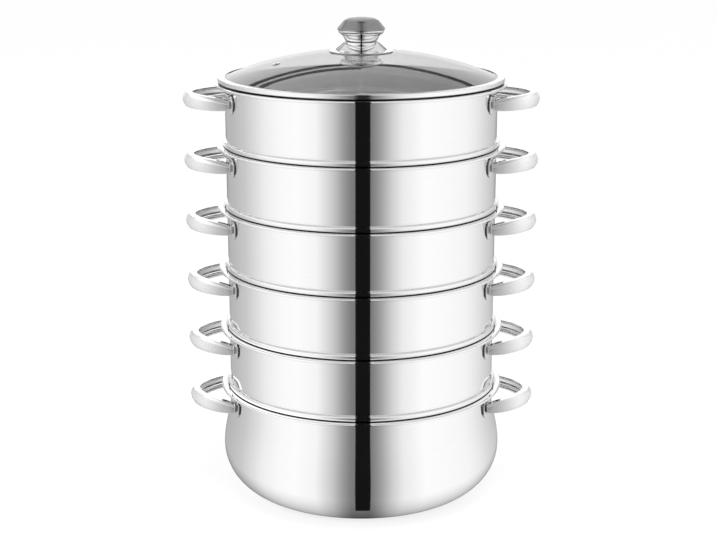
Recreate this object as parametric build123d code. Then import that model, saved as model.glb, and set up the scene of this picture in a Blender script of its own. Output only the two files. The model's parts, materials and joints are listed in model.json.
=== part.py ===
from build123d import *
import os
from math import asin, copysign, cos, degrees, pi, sin, sqrt, tan

# Five-tier steamer: a bellied pot, five stacking tiers with steam plates, and a domed glass lid.
# Millimetres. The origin is the centre of the pot's flat base, +Z is up, the handles lie
# along +X and -X, and the front faces -Y.

# Sheet and nesting
tier_count = 5
sheet = 0.8                    # wall of the pot and the tiers
wall_radius = 140.0            # outside of every tier and of the pot's neck
tier_pitch = 64.0              # from one rim plane to the next
nest_clearance = 0.6           # between a tier's collar and the mouth that it drops into
nest_depth = 9.0               # how far a collar reaches below the rim it stands on
seat_clearance = 0.05          # between clamped pieces whose curved faces would touch
cut_overrun = 5.0              # how far a cutting tool runs past what it cuts

# Rim flange with its rolled edge, the same on the pot and on each tier
flange_width = 9.5             # from the wall to the outside of the rolled edge
flange_bend = 0.6              # inside bend between the wall and the flange
curl_diameter = 3.0
curl_bend_share = 0.46         # share of the hollow in the rolled edge
curl_return_share = 0.5        # how far the rolled edge comes back up, as a share of the hollow

# Foot of a tier: the bead that shows and the collar and ledge that are hidden in the mouth below
bead_swell = 3.0               # how far the bead stands out past the wall
bead_height = 5.5
bead_top_bend_share = 0.6      # shares of the swell
bead_root_bend_share = 0.26
bead_foot_bend = 1.2
seat_bend = 0.8                # between the collar and the underside of the bead
ledge_bend = 1.6
ledge_width = 12.6             # inward turn that carries the steam plate

# Pot
pot_height = 117.0
pot_corner_radius = 48.0       # between the flat base and the belly
belly_swell = 8.0              # how far the belly stands out past the neck
belly_bend_share = 0.96        # how nearly the two arcs of the side meet
neck_drop = 13.0               # from the rim plane down to where the neck runs straight

# Steam plate
plate_thickness = 0.8
plate_clearance = 0.3
steam_hole_diameter = 8.0
steam_ring_pitch = 22.0        # radial step from one ring of holes to the next
holes_added_per_ring = 6

# Handles: a cast crescent on two welded feet
handle_reach = 44.0            # from the wall to the outer end
handle_half_span = 49.75       # from the middle to the centre of an arm's root
handle_end_width = 10.0
handle_root_width = 6.5
handle_end_top = 10.4          # depths below the rim plane
handle_root_top = 17.0
handle_end_bottom = 24.8
handle_root_bottom = 22.4
handle_loop_power = 1.7        # shape of the loop seen from above: 2 is an ellipse, 1 a triangle
handle_root_fade = 4           # how late along the arm its height falls to that of the root
handle_crown = 2.0             # bulge of the outer face
handle_edge_radius = 1.0
handle_root_overrun = 3.0      # length of arm that is trimmed off at the wall
handle_sections = 13
foot_height = 19.5
foot_width = 16.0
foot_thickness = 1.6
foot_drop = 17.0               # from the rim plane to the middle of the foot
foot_lean = 3.0                # foot centre beyond the arm's root, away from the handle's middle
boss_height = 12.5
boss_width = 9.0
boss_rise = 1.5

# Lid: tempered glass clamped in a steel band
lid_rise = 31.5                # top of the glass above the rim plane
glass_thickness = 3.5
glass_edge_land = 8.5          # flat ring of glass inside the band
glass_edge_fillet = 8.0
glass_edge_grind = 0.8         # rounding of the ground edge
glass_bore = 9.0
band_sheet = 0.5
band_inset = 2.5               # band outside, in from the outside of the rolled edge
band_gap = 1.5                 # gap between the band and the flange below it
band_lip_gap = 0.4             # from the end of the band's top lip to the foot of the dome
band_foot_width = 3.4          # the band's outer underside, in from its outer face
band_skirt = 6.0               # locating skirt that hangs inside the mouth
band_bend = 0.8
band_foot_bend = 0.6
band_inner_bend = 0.3
vent_distance = 90.0           # from the knob's axis to the steam vent
vent_angle = 198.0
vent_bore = 3.2
vent_wall = 0.9
vent_flange = 7.2
vent_flange_thickness = 0.7

# Knob: radii from its axis
gasket_thickness = 0.5
gasket_radius = 32.0
skirt_radius = 32.7
skirt_flare_radius = 28.0
skirt_top_radius = 17.2
skirt_rise = 9.0               # top of the skirt above the top of the glass
skirt_sheet = 0.8
skirt_flare_bend = 7.0
skirt_top_bend = 1.6
neck_foot_radius = 16.6
neck_head_radius = 20.8
neck_height = 7.8
neck_waist = 0.9               # hollow of the neck's side
collar_radius = 22.0
collar_height = 4.3
collar_edge = 0.7
cap_radius = 24.4
cap_height = 12.1
cap_rim = 1.2
cap_shoulder_bend = 0.9        # between the rim and the sloping side
cap_crown_radius = 16.2        # where the sloping side meets the flatter crown
cap_crown_drop = 0.9           # of the crown, from the cap's middle to there
cap_crown_bend = 11.0          # between the sloping side and the crown
washer_radius = 21.5
washer_floor_radius = 15.5
washer_drop = 7.0              # depth of the dished washer inside the lid
washer_sheet = 1.0
washer_bend = 2.5
washer_rim_bend = 1.0
inner_gasket_width = 3.0
inner_gasket_thickness = 1.0
screw_diameter = 6.0
screw_head_diameter = 11.0
screw_head_height = 3.2
screw_slot_width = 1.4
screw_slot_depth = 1.2
screw_clearance = 0.4
screw_end_gap = 1.0            # left above the screw in the neck's bore

# Worked out from the sizes above
flange_radius = wall_radius + flange_width
mouth_radius = wall_radius - sheet
collar_outer_radius = mouth_radius - nest_clearance
ledge_radius = collar_outer_radius - ledge_width
belly_radius = wall_radius + belly_swell
rim_planes = [pot_height + tier_pitch * step for step in range(tier_count + 1)]
lid_plane = rim_planes[-1]
skirt_top_height = lid_rise + skirt_rise


def turned(outline):
    """Solid of revolution from an outline drawn as radius and height."""
    return revolve(Plane.XZ * outline, Axis.Z)


def sheet_ring(corners, bends, thickness):
    """Sheet metal ring: one face runs through the corners with the given bend radii, and the
    body lies to the left of it, or to the right where the thickness is negative."""
    points = [Vector(*corner) for corner in corners]
    runs = [(end - start).normalized() for start, end in zip(points, points[1:])]
    sides = [Vector(-run.Y, run.X) for run in runs]
    far_points = [points[0] + sides[0] * thickness]
    far_bends = []
    for point, before, after, bend, run in zip(points[1:], sides, sides[1:], bends, runs):
        far_points.append(point + (before + after) * (thickness / (1 + before.dot(after))))
        left_turn = run.dot(after) < 0
        far_bends.append(bend - thickness if left_turn else bend + thickness)
    far_points.append(points[-1] + sides[-1] * thickness)
    near = FilletPolyline(*points, radius=bends)
    far = FilletPolyline(*far_points, radius=far_bends)
    ends = [Line(points[0], far_points[0]), Line(points[-1], far_points[-1])]
    return turned(make_face(Wire([*near.edges(), *far.edges(), *ends])))


def flange(rim_height):
    """Corners and bends of the rim, from the wall out and round the rolled edge."""
    hollow = curl_diameter - 2 * sheet
    underside = rim_height - sheet
    curl_out = flange_radius - sheet
    corners = [
        (wall_radius, underside),
        (curl_out, underside),
        (curl_out, underside - hollow),
        (curl_out - hollow, underside - hollow),
        (curl_out - hollow, underside - hollow + hollow * curl_return_share),
    ]
    return corners, [flange_bend] + 3 * [hollow * curl_bend_share]


def pot_side(growth):
    """Corners and bends of the pot's side, where two equal arcs lead from the belly to the neck,
    grown outwards by growth."""
    drop = pot_height - neck_drop - pot_corner_radius
    reach = (drop**2 + belly_swell**2) / (4 * drop)
    bend = belly_bend_share * reach * drop / belly_swell
    corners = [
        (belly_radius + growth, pot_corner_radius + reach),
        (wall_radius + growth, pot_height - neck_drop - reach),
    ]
    return corners, [bend, bend]


def pot_shell():
    """Flat base, large corner, belly, neck and rolled flange in one drawn sheet."""
    side, side_bends = pot_side(0)
    rim, rim_bends = flange(pot_height)
    corners = [(0, 0), (belly_radius, 0), *side, *rim]
    return sheet_ring(corners, [pot_corner_radius, *side_bends, *rim_bends], sheet)


def tier_shell():
    """Ledge, collar, bead, wall and rolled flange; height zero is the plane it stands on."""
    bead_radius = wall_radius + bead_swell
    rim, rim_bends = flange(tier_pitch)
    corners = [
        (ledge_radius, -nest_depth),
        (collar_outer_radius, -nest_depth),
        (collar_outer_radius, 0),
        (bead_radius, 0),
        (bead_radius, bead_height),
        (wall_radius, bead_height),
        *rim,
    ]
    bends = [
        ledge_bend,
        seat_bend,
        bead_foot_bend,
        bead_swell * bead_top_bend_share,
        bead_swell * bead_root_bend_share,
        *rim_bends,
    ]
    return sheet_ring(corners, bends, sheet)


def steam_plate():
    """Loose disc with rings of steam holes, resting on a tier's ledge."""
    radius = collar_outer_radius - ledge_bend - plate_clearance
    hole_radius = steam_hole_diameter / 2
    ring_count = int((ledge_radius - 2 * hole_radius) / steam_ring_pitch)
    holes = [Circle(hole_radius)]
    for ring in range(1, ring_count + 1):
        places = PolarLocations(ring * steam_ring_pitch, ring * holes_added_per_ring)
        holes += [place * Circle(hole_radius) for place in places]
    disc = extrude(Circle(radius) - holes, plate_thickness)
    return Pos(0, 0, sheet - nest_depth) * disc


def pot_envelope(growth):
    """The pot's side as a filled body, grown outwards by growth."""
    side, bends = pot_side(growth)
    start = (belly_radius + growth, 0)
    end = (wall_radius + growth, pot_height)
    path = FilletPolyline(start, *side, end, radius=bends)
    ends = [Line(end, (0, pot_height)), Line((0, pot_height), (0, 0)), Line((0, 0), start)]
    return turned(make_face(Wire([*path.edges(), *ends])))


def tier_envelope(growth):
    """A tier's wall as a filled body, grown outwards by growth."""
    return extrude(Circle(wall_radius + growth), tier_pitch)


def handle_section(turn, rim_height):
    """Cross-section of the crescent at an angle round its loop: flat inside, crowned outside."""
    root_x = sqrt(wall_radius**2 - handle_half_span**2) - handle_root_overrun
    middle_reach = wall_radius + handle_reach - handle_end_width / 2 - root_x
    swing = max(cos(turn), 0)
    side = copysign(1, turn)
    stretch = 2 / handle_loop_power
    fade = (1 - swing) ** handle_root_fade
    width = handle_root_width + (handle_end_width - handle_root_width) * swing
    top = rim_height - handle_end_top + (handle_end_top - handle_root_top) * fade
    bottom = rim_height - handle_end_bottom + (handle_end_bottom - handle_root_bottom) * fade
    outward = Vector(
        swing ** (2 - stretch) / middle_reach,
        side * abs(sin(turn)) ** (2 - stretch) / handle_half_span,
        0,
    ).normalized()
    along = Vector(outward.Y, -outward.X, 0)
    centre = Vector(
        root_x + middle_reach * swing**stretch,
        handle_half_span * side * abs(sin(turn)) ** stretch,
        (top + bottom) / 2,
    )
    half_width = width / 2
    half_height = (top - bottom) / 2
    shoulder = half_width - handle_crown
    outline = Wire([
        Line((shoulder, -half_height), (-half_width, -half_height)),
        Line((-half_width, -half_height), (-half_width, half_height)),
        Line((-half_width, half_height), (shoulder, half_height)),
        ThreePointArc((shoulder, half_height), (half_width, 0), (shoulder, -half_height)),
    ])
    face = make_face(outline)
    face = fillet(face.vertices(), handle_edge_radius)
    return Plane(origin=centre, x_dir=outward, z_dir=along) * face


def handle(rim_height, envelope):
    """Crescent handle on the +X side, trimmed where its arms meet the feet."""
    step = pi / (handle_sections - 1)
    turns = [index * step - pi / 2 for index in range(handle_sections)]
    loop = loft([handle_section(turn, rim_height) for turn in turns])
    return loop - envelope(foot_thickness + boss_rise)


def foot(rim_height, envelope, sign):
    """Oblong welded foot with a raised boss where the arm's root meets it."""
    def oblong(half_span, height, width):
        angle = asin(half_span / wall_radius)
        outward = Vector(cos(angle), sign * sin(angle), 0)
        place = Plane(
            origin=outward * wall_radius + Vector(0, 0, rim_height - foot_drop),
            x_dir=(-outward.Y, outward.X, 0),
            z_dir=outward,
        )
        shape = Rot(0, 0, 90) * SlotOverall(height, width)
        return extrude(place * shape, foot_thickness + boss_rise + cut_overrun, both=True)

    plate = oblong(handle_half_span + foot_lean, foot_height, foot_width)
    boss = oblong(handle_half_span, boss_height, boss_width)
    plate = plate & envelope(foot_thickness)
    boss = boss & envelope(foot_thickness + boss_rise)
    return (plate + boss) - envelope(seat_clearance)


def handle_set(rim_height, envelope):
    """Handle and its two feet, on the right and turned round to the left."""
    right = handle(rim_height, envelope)
    feet = Compound([
        *foot(rim_height, envelope, 1).solids(),
        *foot(rim_height, envelope, -1).solids(),
    ])
    half_turn = Rot(0, 0, 180)
    return {
        "handle_right": right,
        "handle_left": half_turn * right,
        "handle_right_feet": feet,
        "handle_left_feet": half_turn * feet,
    }


# The glass is a dome whose centre lies on the knob's axis. Heights here are above the rim plane.
glass_floor = band_gap + band_sheet
glass_land_top = glass_floor + glass_thickness
glass_radius = flange_radius - band_inset - band_sheet - seat_clearance
dome_edge = glass_radius - glass_edge_land
dome_sag = lid_rise - glass_land_top
dome_radius = (dome_edge**2 + dome_sag**2) / (2 * dome_sag)
dome_centre = lid_rise - dome_radius


def dome_height(radius, rise):
    """Height of the dome at a radius, rise above the outer face of the glass."""
    return dome_centre + sqrt((dome_radius + rise) ** 2 - radius**2)


def dome_arc(inner, outer, rise):
    """Arc along the dome between two radii."""
    radii = (inner, (inner + outer) / 2, outer)
    return ThreePointArc(*[(radius, dome_height(radius, rise)) for radius in radii])


def dome_ring(inner, outer, low, high):
    """Ring that follows the dome, between two radii and two offsets from its outer face."""
    outline = Wire([
        dome_arc(inner, outer, low),
        Line((outer, dome_height(outer, low)), (outer, dome_height(outer, high))),
        dome_arc(inner, outer, high),
        Line((inner, dome_height(inner, high)), (inner, dome_height(inner, low))),
    ])
    return turned(make_face(outline))


def at_vent(piece):
    """Place a piece made round the Z axis at the vent, square to the glass."""
    tilt = degrees(asin(vent_distance / dome_radius))
    place = Pos(0, 0, dome_centre) * Rot(0, 0, vent_angle) * Rot(0, tilt, 0)
    return place * Pos(0, 0, dome_radius) * piece


def lid_glass():
    """Dome with a flat edge ring, bored for the knob's screw and for the steam vent."""
    inner_edge = sqrt((dome_radius - glass_thickness) ** 2 - (glass_floor - dome_centre) ** 2)
    bore = glass_bore / 2
    face = make_face(Wire([
        dome_arc(bore, dome_edge, 0),
        Line((dome_edge, glass_land_top), (glass_radius, glass_land_top)),
        Line((glass_radius, glass_land_top), (glass_radius, glass_floor)),
        Line((glass_radius, glass_floor), (inner_edge, glass_floor)),
        dome_arc(bore, inner_edge, -glass_thickness),
        Line((bore, dome_height(bore, -glass_thickness)), (bore, dome_height(bore, 0))),
    ]))
    top_corner = face.vertices().sort_by_distance((dome_edge, glass_land_top))[0]
    face = fillet(top_corner, glass_edge_fillet)
    low_corner = face.vertices().sort_by_distance((inner_edge, glass_floor))[0]
    face = fillet(low_corner, glass_edge_fillet)
    ground_edge = [
        face.vertices().sort_by_distance((glass_radius, height))[0]
        for height in (glass_land_top, glass_floor)
    ]
    face = fillet(ground_edge, glass_edge_grind)
    hole = Cylinder(vent_bore / 2 + vent_wall + seat_clearance, glass_thickness * 2 + cut_overrun)
    return turned(face) - at_vent(hole)


def lid_rim_band():
    """Rolled band round the glass: top lip, outer face, foot on the flange and locating skirt."""
    outer = flange_radius - band_inset
    top = glass_land_top + band_sheet
    foot_outer = outer - band_foot_width
    dome_slope = asin(dome_edge / dome_radius)
    lip_end = dome_edge + glass_edge_fillet * tan(dome_slope / 2) + band_lip_gap
    corners = [
        (lip_end, top),
        (outer, top),
        (outer, band_gap),
        (foot_outer, band_gap),
        (foot_outer, 0),
        (collar_outer_radius, 0),
        (collar_outer_radius, -band_skirt),
    ]
    bends = [band_bend, band_bend, band_inner_bend, band_foot_bend, band_inner_bend]
    return sheet_ring(corners, bends, -band_sheet)


def lid_vent_eyelet():
    """Riveted steel eyelet through the glass, a flange above and one below."""
    outer = vent_bore / 2 + vent_wall
    upper = seat_clearance + vent_flange_thickness
    lower = -glass_thickness - seat_clearance - vent_flange_thickness
    tube = extrude(Circle(outer) - Circle(vent_bore / 2), upper - lower)
    flange = extrude(Circle(vent_flange / 2) - Circle(vent_bore / 2), vent_flange_thickness)
    body = Pos(0, 0, lower) * (tube + flange) + Pos(0, 0, seat_clearance) * flange
    return at_vent(body)


def knob_skirt():
    """Pressed base of the knob: brim on the gasket, flare, and the top that carries the neck."""
    rise = gasket_thickness + seat_clearance
    underside = skirt_top_height - skirt_sheet
    corners = [
        (skirt_radius, dome_height(skirt_radius, rise)),
        (skirt_flare_radius, dome_height(skirt_flare_radius, rise)),
        (skirt_top_radius, underside),
        (screw_diameter / 2 + screw_clearance, underside),
    ]
    return sheet_ring(corners, [skirt_flare_bend, skirt_top_bend], -skirt_sheet)


def knob_neck():
    """Waisted neck, bored and threaded for the screw."""
    foot_point = Vector(neck_foot_radius, skirt_top_height)
    head_point = Vector(neck_head_radius, skirt_top_height + neck_height)
    waist = (foot_point + head_point) * 0.5 - Vector(neck_waist, 0)
    bore = screw_diameter / 2
    outline = Wire([
        ThreePointArc(foot_point, waist, head_point),
        Line(head_point, (bore, head_point.Y)),
        Line((bore, head_point.Y), (bore, foot_point.Y)),
        Line((bore, foot_point.Y), foot_point),
    ])
    return turned(make_face(outline))


def knob_collar():
    """Lip ring between the neck and the cap, flaring up to the cap's rim."""
    low = skirt_top_height + neck_height
    high = low + collar_height
    outline = FilletPolyline(
        (0, low),
        (collar_radius, low),
        (cap_radius - collar_edge, high),
        (0, high),
        radius=[collar_edge, collar_edge / 2],
    )
    return turned(make_face(Wire([*outline.edges(), Line((0, high), (0, low))])))


def knob_cap():
    """Cap with a short straight rim, a sloping side and a shallow crown."""
    low = skirt_top_height + neck_height + collar_height
    top = low + cap_height
    shoulder = (cap_radius, low + cap_rim)
    crown = (cap_crown_radius, top - cap_crown_drop)
    sphere = (cap_crown_radius**2 + cap_crown_drop**2) / (2 * cap_crown_drop)
    middle = cap_crown_radius / 2
    middle_height = top - sphere + sqrt(sphere**2 - middle**2)
    face = make_face(Wire([
        Line((0, low), (cap_radius, low)),
        Line((cap_radius, low), shoulder),
        Line(shoulder, crown),
        ThreePointArc(crown, (middle, middle_height), (0, top)),
        Line((0, top), (0, low)),
    ]))
    face = fillet(face.vertices().sort_by_distance(crown)[0], cap_crown_bend)
    face = fillet(face.vertices().sort_by_distance(shoulder)[0], cap_shoulder_bend)
    return turned(face)


def knob_upper_gasket():
    """Thin seal between the skirt's brim and the glass."""
    return dome_ring(glass_bore / 2, gasket_radius, 0, gasket_thickness)


def knob_lower_gasket():
    """Seal between the glass and the rim of the dished washer."""
    return dome_ring(
        washer_radius - inner_gasket_width,
        washer_radius,
        -glass_thickness - inner_gasket_thickness,
        -glass_thickness,
    )


washer_seat = dome_height(washer_radius, -glass_thickness - inner_gasket_thickness - seat_clearance)
washer_floor = washer_seat - washer_drop


def knob_inner_washer():
    """Dished washer inside the lid; its rim presses on the gasket and its floor takes the screw."""
    underside = washer_seat - washer_sheet
    corners = [
        (screw_diameter / 2 + screw_clearance, washer_floor),
        (washer_floor_radius, washer_floor),
        (washer_radius - inner_gasket_width, underside),
        (washer_radius, underside),
    ]
    return sheet_ring(corners, [washer_bend, washer_rim_bend], washer_sheet)


def knob_screw():
    """Slotted pan-head screw from inside the lid up into the neck."""
    end = skirt_top_height + neck_height - screw_end_gap
    head_place = Pos(0, 0, washer_floor - screw_head_height)
    head = head_place * extrude(Circle(screw_head_diameter / 2), screw_head_height)
    head = fillet(head.edges().group_by(Axis.Z)[0], screw_head_height / 3)
    shank = Pos(0, 0, washer_floor) * extrude(Circle(screw_diameter / 2), end - washer_floor)
    slot = Box(screw_head_diameter + cut_overrun, screw_slot_width, screw_slot_depth * 2)
    return head + shank - head_place * slot


def build():
    """Every piece by name, in its place."""
    pieces = {"pot_shell": pot_shell()}
    for name, piece in handle_set(pot_height, pot_envelope).items():
        pieces[f"pot_{name}"] = piece

    tier_pieces = {"shell": tier_shell(), "steam_plate": steam_plate()}
    tier_pieces.update(handle_set(tier_pitch, tier_envelope))
    for number in range(1, tier_count + 1):
        for name, piece in tier_pieces.items():
            pieces[f"tier_{number}_{name}"] = Pos(0, 0, rim_planes[number - 1]) * piece

    lid_pieces = {
        "lid_glass": lid_glass(),
        "lid_rim_band": lid_rim_band(),
        "lid_vent_eyelet": lid_vent_eyelet(),
        "knob_upper_gasket": knob_upper_gasket(),
        "knob_skirt": knob_skirt(),
        "knob_neck": knob_neck(),
        "knob_collar": knob_collar(),
        "knob_cap": knob_cap(),
        "knob_lower_gasket": knob_lower_gasket(),
        "knob_inner_washer": knob_inner_washer(),
        "knob_screw": knob_screw(),
    }
    for name, piece in lid_pieces.items():
        pieces[name] = Pos(0, 0, lid_plane) * piece
    return pieces


os.makedirs("parts", exist_ok=True)
for node_name, node in build().items():
    export_step(node, f"parts/{node_name}.step")
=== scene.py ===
import json
from math import acos, asin, atan2, copysign, cos, pi, radians, sin, sqrt, tan

import bmesh
import bpy
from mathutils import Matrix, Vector

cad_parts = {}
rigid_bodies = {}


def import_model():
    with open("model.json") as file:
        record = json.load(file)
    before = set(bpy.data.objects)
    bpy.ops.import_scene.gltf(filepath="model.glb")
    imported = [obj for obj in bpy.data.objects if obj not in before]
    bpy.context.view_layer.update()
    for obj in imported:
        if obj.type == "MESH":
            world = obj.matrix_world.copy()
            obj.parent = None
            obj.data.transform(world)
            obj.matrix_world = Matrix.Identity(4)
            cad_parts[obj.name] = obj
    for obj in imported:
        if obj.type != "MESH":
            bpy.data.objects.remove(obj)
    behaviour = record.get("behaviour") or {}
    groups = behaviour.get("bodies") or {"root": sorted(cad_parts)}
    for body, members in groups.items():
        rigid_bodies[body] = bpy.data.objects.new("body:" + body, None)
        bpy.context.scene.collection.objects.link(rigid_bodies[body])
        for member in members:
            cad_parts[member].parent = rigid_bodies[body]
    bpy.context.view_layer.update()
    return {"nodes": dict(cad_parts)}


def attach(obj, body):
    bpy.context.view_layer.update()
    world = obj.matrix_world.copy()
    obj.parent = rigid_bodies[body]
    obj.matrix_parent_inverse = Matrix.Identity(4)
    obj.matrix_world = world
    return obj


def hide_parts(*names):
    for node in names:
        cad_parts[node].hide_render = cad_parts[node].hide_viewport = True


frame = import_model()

# Sheet and nesting
tier_count = 5
sheet = 0.0008
wall_radius = 0.140
tier_pitch = 0.064
nest_clearance = 0.0006
nest_depth = 0.009
seat_clearance = 0.00005

# Rim flange with its rolled edge
flange_width = 0.0095
flange_bend = 0.0006
curl_diameter = 0.003
curl_bend_share = 0.46
curl_return_share = 0.5

# Foot of a tier
bead_swell = 0.003
bead_height = 0.0055
bead_top_bend_share = 0.6
bead_root_bend_share = 0.26
bead_foot_bend = 0.0012
seat_bend = 0.0008
ledge_bend = 0.0016
ledge_width = 0.0126

# Pot
pot_height = 0.117
pot_corner_radius = 0.048
belly_swell = 0.008
belly_bend_share = 0.96
neck_drop = 0.013
base_middle = 0.002

# Handles
handle_reach = 0.044
handle_half_span = 0.04975
handle_end_width = 0.010
handle_root_width = 0.0065
handle_end_top = 0.0104
handle_root_top = 0.017
handle_end_bottom = 0.0248
handle_root_bottom = 0.0224
handle_loop_power = 1.7
handle_root_fade = 4
handle_crown = 0.002
handle_edge_radius = 0.0006
foot_edge_radius = 0.0004
handle_steps = 36
handle_crown_cuts = 3
handle_lip = 0.0016
handle_trough = [(0.0003, 0.0015), (0.0011, 0.0016), (0.0022, 0.0011)]
handle_trough_start = 0.008
handle_root_overrun = 0.003
handle_root_turn = radians(83)

# Lid
lid_rise = 0.0315
glass_thickness = 0.0035
glass_edge_land = 0.0085
glass_edge_fillet = 0.008
glass_edge_grind = 0.0008
glass_bore = 0.009
band_sheet = 0.0005
band_inset = 0.0025
band_gap = 0.0015
band_lip_gap = 0.0004
band_foot_width = 0.0034
band_skirt = 0.006
band_bend = 0.0008
band_foot_bend = 0.0006
band_inner_bend = 0.0003

# Knob
gasket_thickness = 0.0005
skirt_radius = 0.0327
skirt_flare_radius = 0.028
skirt_top_radius = 0.0172
skirt_rise = 0.009
skirt_sheet = 0.0008
skirt_flare_bend = 0.007
skirt_top_bend = 0.0016
neck_foot_radius = 0.0166
neck_head_radius = 0.0208
neck_height = 0.0078
neck_waist = 0.0009
groove_share = 0.11
groove_depth = 0.0013
collar_radius = 0.022
collar_height = 0.0043
collar_edge = 0.0007
collar_bulge = 0.0005
cap_radius = 0.0244
cap_height = 0.0121
cap_rim = 0.0012
cap_edge_bend = 0.0004
cap_shoulder_bend = 0.0009
cap_crown_radius = 0.0162
cap_crown_drop = 0.0009
cap_crown_bend = 0.011
washer_radius = 0.0215
washer_floor_radius = 0.0155
washer_drop = 0.007
washer_sheet = 0.001
washer_bend = 0.0025
washer_rim_bend = 0.001
inner_gasket_width = 0.003
inner_gasket_thickness = 0.001
screw_diameter = 0.006
screw_clearance = 0.0004

# How finely round shapes are divided
wall_facets = 240
knob_facets = 96
bend_facets = 6
arc_facets = 14
knob_crown_facets = 8

# How near a point lies to be joined or picked, and how steep an edge is to be rounded or kept crisp
ring_reach = 0.00002
join_reach = 0.000005
flat_angle = radians(1)
foot_edge_angle = radians(35)
crisp_angle = radians(40)
handle_crisp_angle = radians(50)
glass_edge_angle = radians(50)

# Worked out
flange_radius = wall_radius + flange_width
mouth_radius = wall_radius - sheet
collar_outer_radius = mouth_radius - nest_clearance
ledge_radius = collar_outer_radius - ledge_width
belly_radius = wall_radius + belly_swell
rim_planes = [pot_height + tier_pitch * step for step in range(tier_count + 1)]
lid_plane = rim_planes[-1]
glass_land_top = band_gap + band_sheet + glass_thickness
glass_radius = flange_radius - band_inset - band_sheet - seat_clearance
dome_edge = glass_radius - glass_edge_land
dome_sag = lid_rise - glass_land_top
dome_radius = (dome_edge**2 + dome_sag**2) / (2 * dome_sag)
dome_centre = lid_rise - dome_radius


# Shaping by hand

def start_fresh():
    bpy.ops.object.select_all(action="DESELECT")


def active_piece(piece):
    start_fresh()
    piece.select_set(True)
    bpy.context.view_layer.objects.active = piece


def open_mesh(piece):
    active_piece(piece)
    bpy.ops.object.mode_set(mode="EDIT")
    bpy.ops.mesh.select_mode(type="EDGE")


def close_mesh():
    bpy.ops.object.mode_set(mode="OBJECT")


def pick_ring(radius, height):
    """Selects the edges of one ring, in edit mode."""
    mesh = bmesh.from_edit_mesh(bpy.context.object.data)
    def on_ring(vertex):
        return abs(vertex.co.xy.length - radius) < ring_reach and abs(vertex.co.z - height) < ring_reach
    for edge in mesh.edges:
        edge.select_set(False)
    for edge in mesh.edges:
        if on_ring(edge.verts[0]) and on_ring(edge.verts[1]):
            edge.select_set(True)
    mesh.select_flush_mode()
    bmesh.update_edit_mesh(bpy.context.object.data)


def finish_smooth(piece, angle=crisp_angle):
    """Smooth faces with crisp edges; the broad faces keep their own direction."""
    active_piece(piece)
    bpy.ops.object.shade_smooth_by_angle(angle=angle)
    weighting = piece.modifiers.new("even faces", "WEIGHTED_NORMAL")
    weighting.keep_sharp = True
    bpy.ops.object.modifier_apply(modifier=weighting.name)


def pulled_wall(name, rings, bends, facets, steps=bend_facets):
    """A wall pulled from a circle through rings of radius and height, with each inner corner bent."""
    start_fresh()
    radius, height = rings[0]
    bpy.ops.mesh.primitive_circle_add(vertices=facets, radius=radius, location=(0, 0, height))
    piece = bpy.context.object
    piece.name = name
    piece.data.name = name
    bpy.ops.object.transform_apply(location=True)
    open_mesh(piece)
    bpy.ops.mesh.select_all(action="SELECT")
    for next_radius, next_height in rings[1:]:
        rise = next_height - height
        bpy.ops.mesh.extrude_region_move(TRANSFORM_OT_translate={"value": (0, 0, rise)})
        spread = next_radius / radius
        bpy.ops.transform.resize(value=(spread, spread, 1), center_override=(0, 0, next_height))
        radius, height = next_radius, next_height
    close_mesh()
    face_right_of_pull(piece, rings)
    open_mesh(piece)
    for before, ring, after, bend in zip(rings, rings[1:], rings[2:], bends):
        if bend:
            into = (Vector(ring) - Vector(before)).normalized()
            out = (Vector(after) - Vector(ring)).normalized()
            turn = acos(max(-1, min(1, into.dot(out))))
            pick_ring(*ring)
            bpy.ops.mesh.bevel(
                offset=bend * tan(turn / 2), segments=steps, profile=0.5,
                affect="EDGES", clamp_overlap=False,
            )
    close_mesh()
    return piece


def face_right_of_pull(piece, rings):
    """Turns the faces so that they look to the right of the pull, seen as radius against height."""
    along = (Vector(rings[1]) - Vector(rings[0])).normalized()
    right = Vector((along.y, -along.x))
    first = piece.data.polygons[0]
    outward = first.center.xy.normalized()
    looks = Vector((first.normal.xy.dot(outward), first.normal.z))
    if looks.dot(right) < 0:
        open_mesh(piece)
        bpy.ops.mesh.select_all(action="SELECT")
        bpy.ops.mesh.flip_normals()
        close_mesh()


def thicken(piece, thickness):
    """Gives a wall its sheet on the left of the pull, or on the right where it is negative."""
    active_piece(piece)
    wall = piece.modifiers.new("sheet", "SOLIDIFY")
    wall.thickness = abs(thickness)
    wall.offset = -1 if thickness > 0 else 1
    wall.use_even_offset = True
    bpy.ops.object.modifier_apply(modifier=wall.name)
    open_mesh(piece)
    bpy.ops.mesh.select_all(action="SELECT")
    bpy.ops.mesh.normals_make_consistent(inside=False)
    close_mesh()


def sheet_ring(name, rings, bends, thickness, facets=wall_facets):
    piece = pulled_wall(name, rings, bends, facets)
    thicken(piece, thickness)
    finish_smooth(piece)
    return piece


def solid_ring(name, rings, bends, steps=bend_facets):
    """A solid turned piece: the pulled wall with its two ends filled."""
    piece = pulled_wall(name, rings, bends, knob_facets, steps)
    open_mesh(piece)
    for ring in (rings[0], rings[-1]):
        pick_ring(*ring)
        bpy.ops.mesh.edge_face_add()
    bpy.ops.mesh.select_all(action="SELECT")
    bpy.ops.mesh.normals_make_consistent(inside=False)
    close_mesh()
    finish_smooth(piece)
    return piece


def lifted_copy(piece, name, lift, half_turn=False):
    """A copy with its own mesh, lifted and perhaps turned half round the pot's axis."""
    active_piece(piece)
    bpy.ops.object.duplicate(linked=False)
    copy = bpy.context.object
    copy.name = name
    copy.data.name = name
    copy.location = (0, 0, lift)
    if half_turn:
        copy.rotation_euler = (0, 0, pi)
    bpy.ops.object.transform_apply(location=True, rotation=True)
    return copy


def put_in_place(piece, lift):
    active_piece(piece)
    piece.location = (0, 0, lift)
    bpy.ops.object.transform_apply(location=True)


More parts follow.
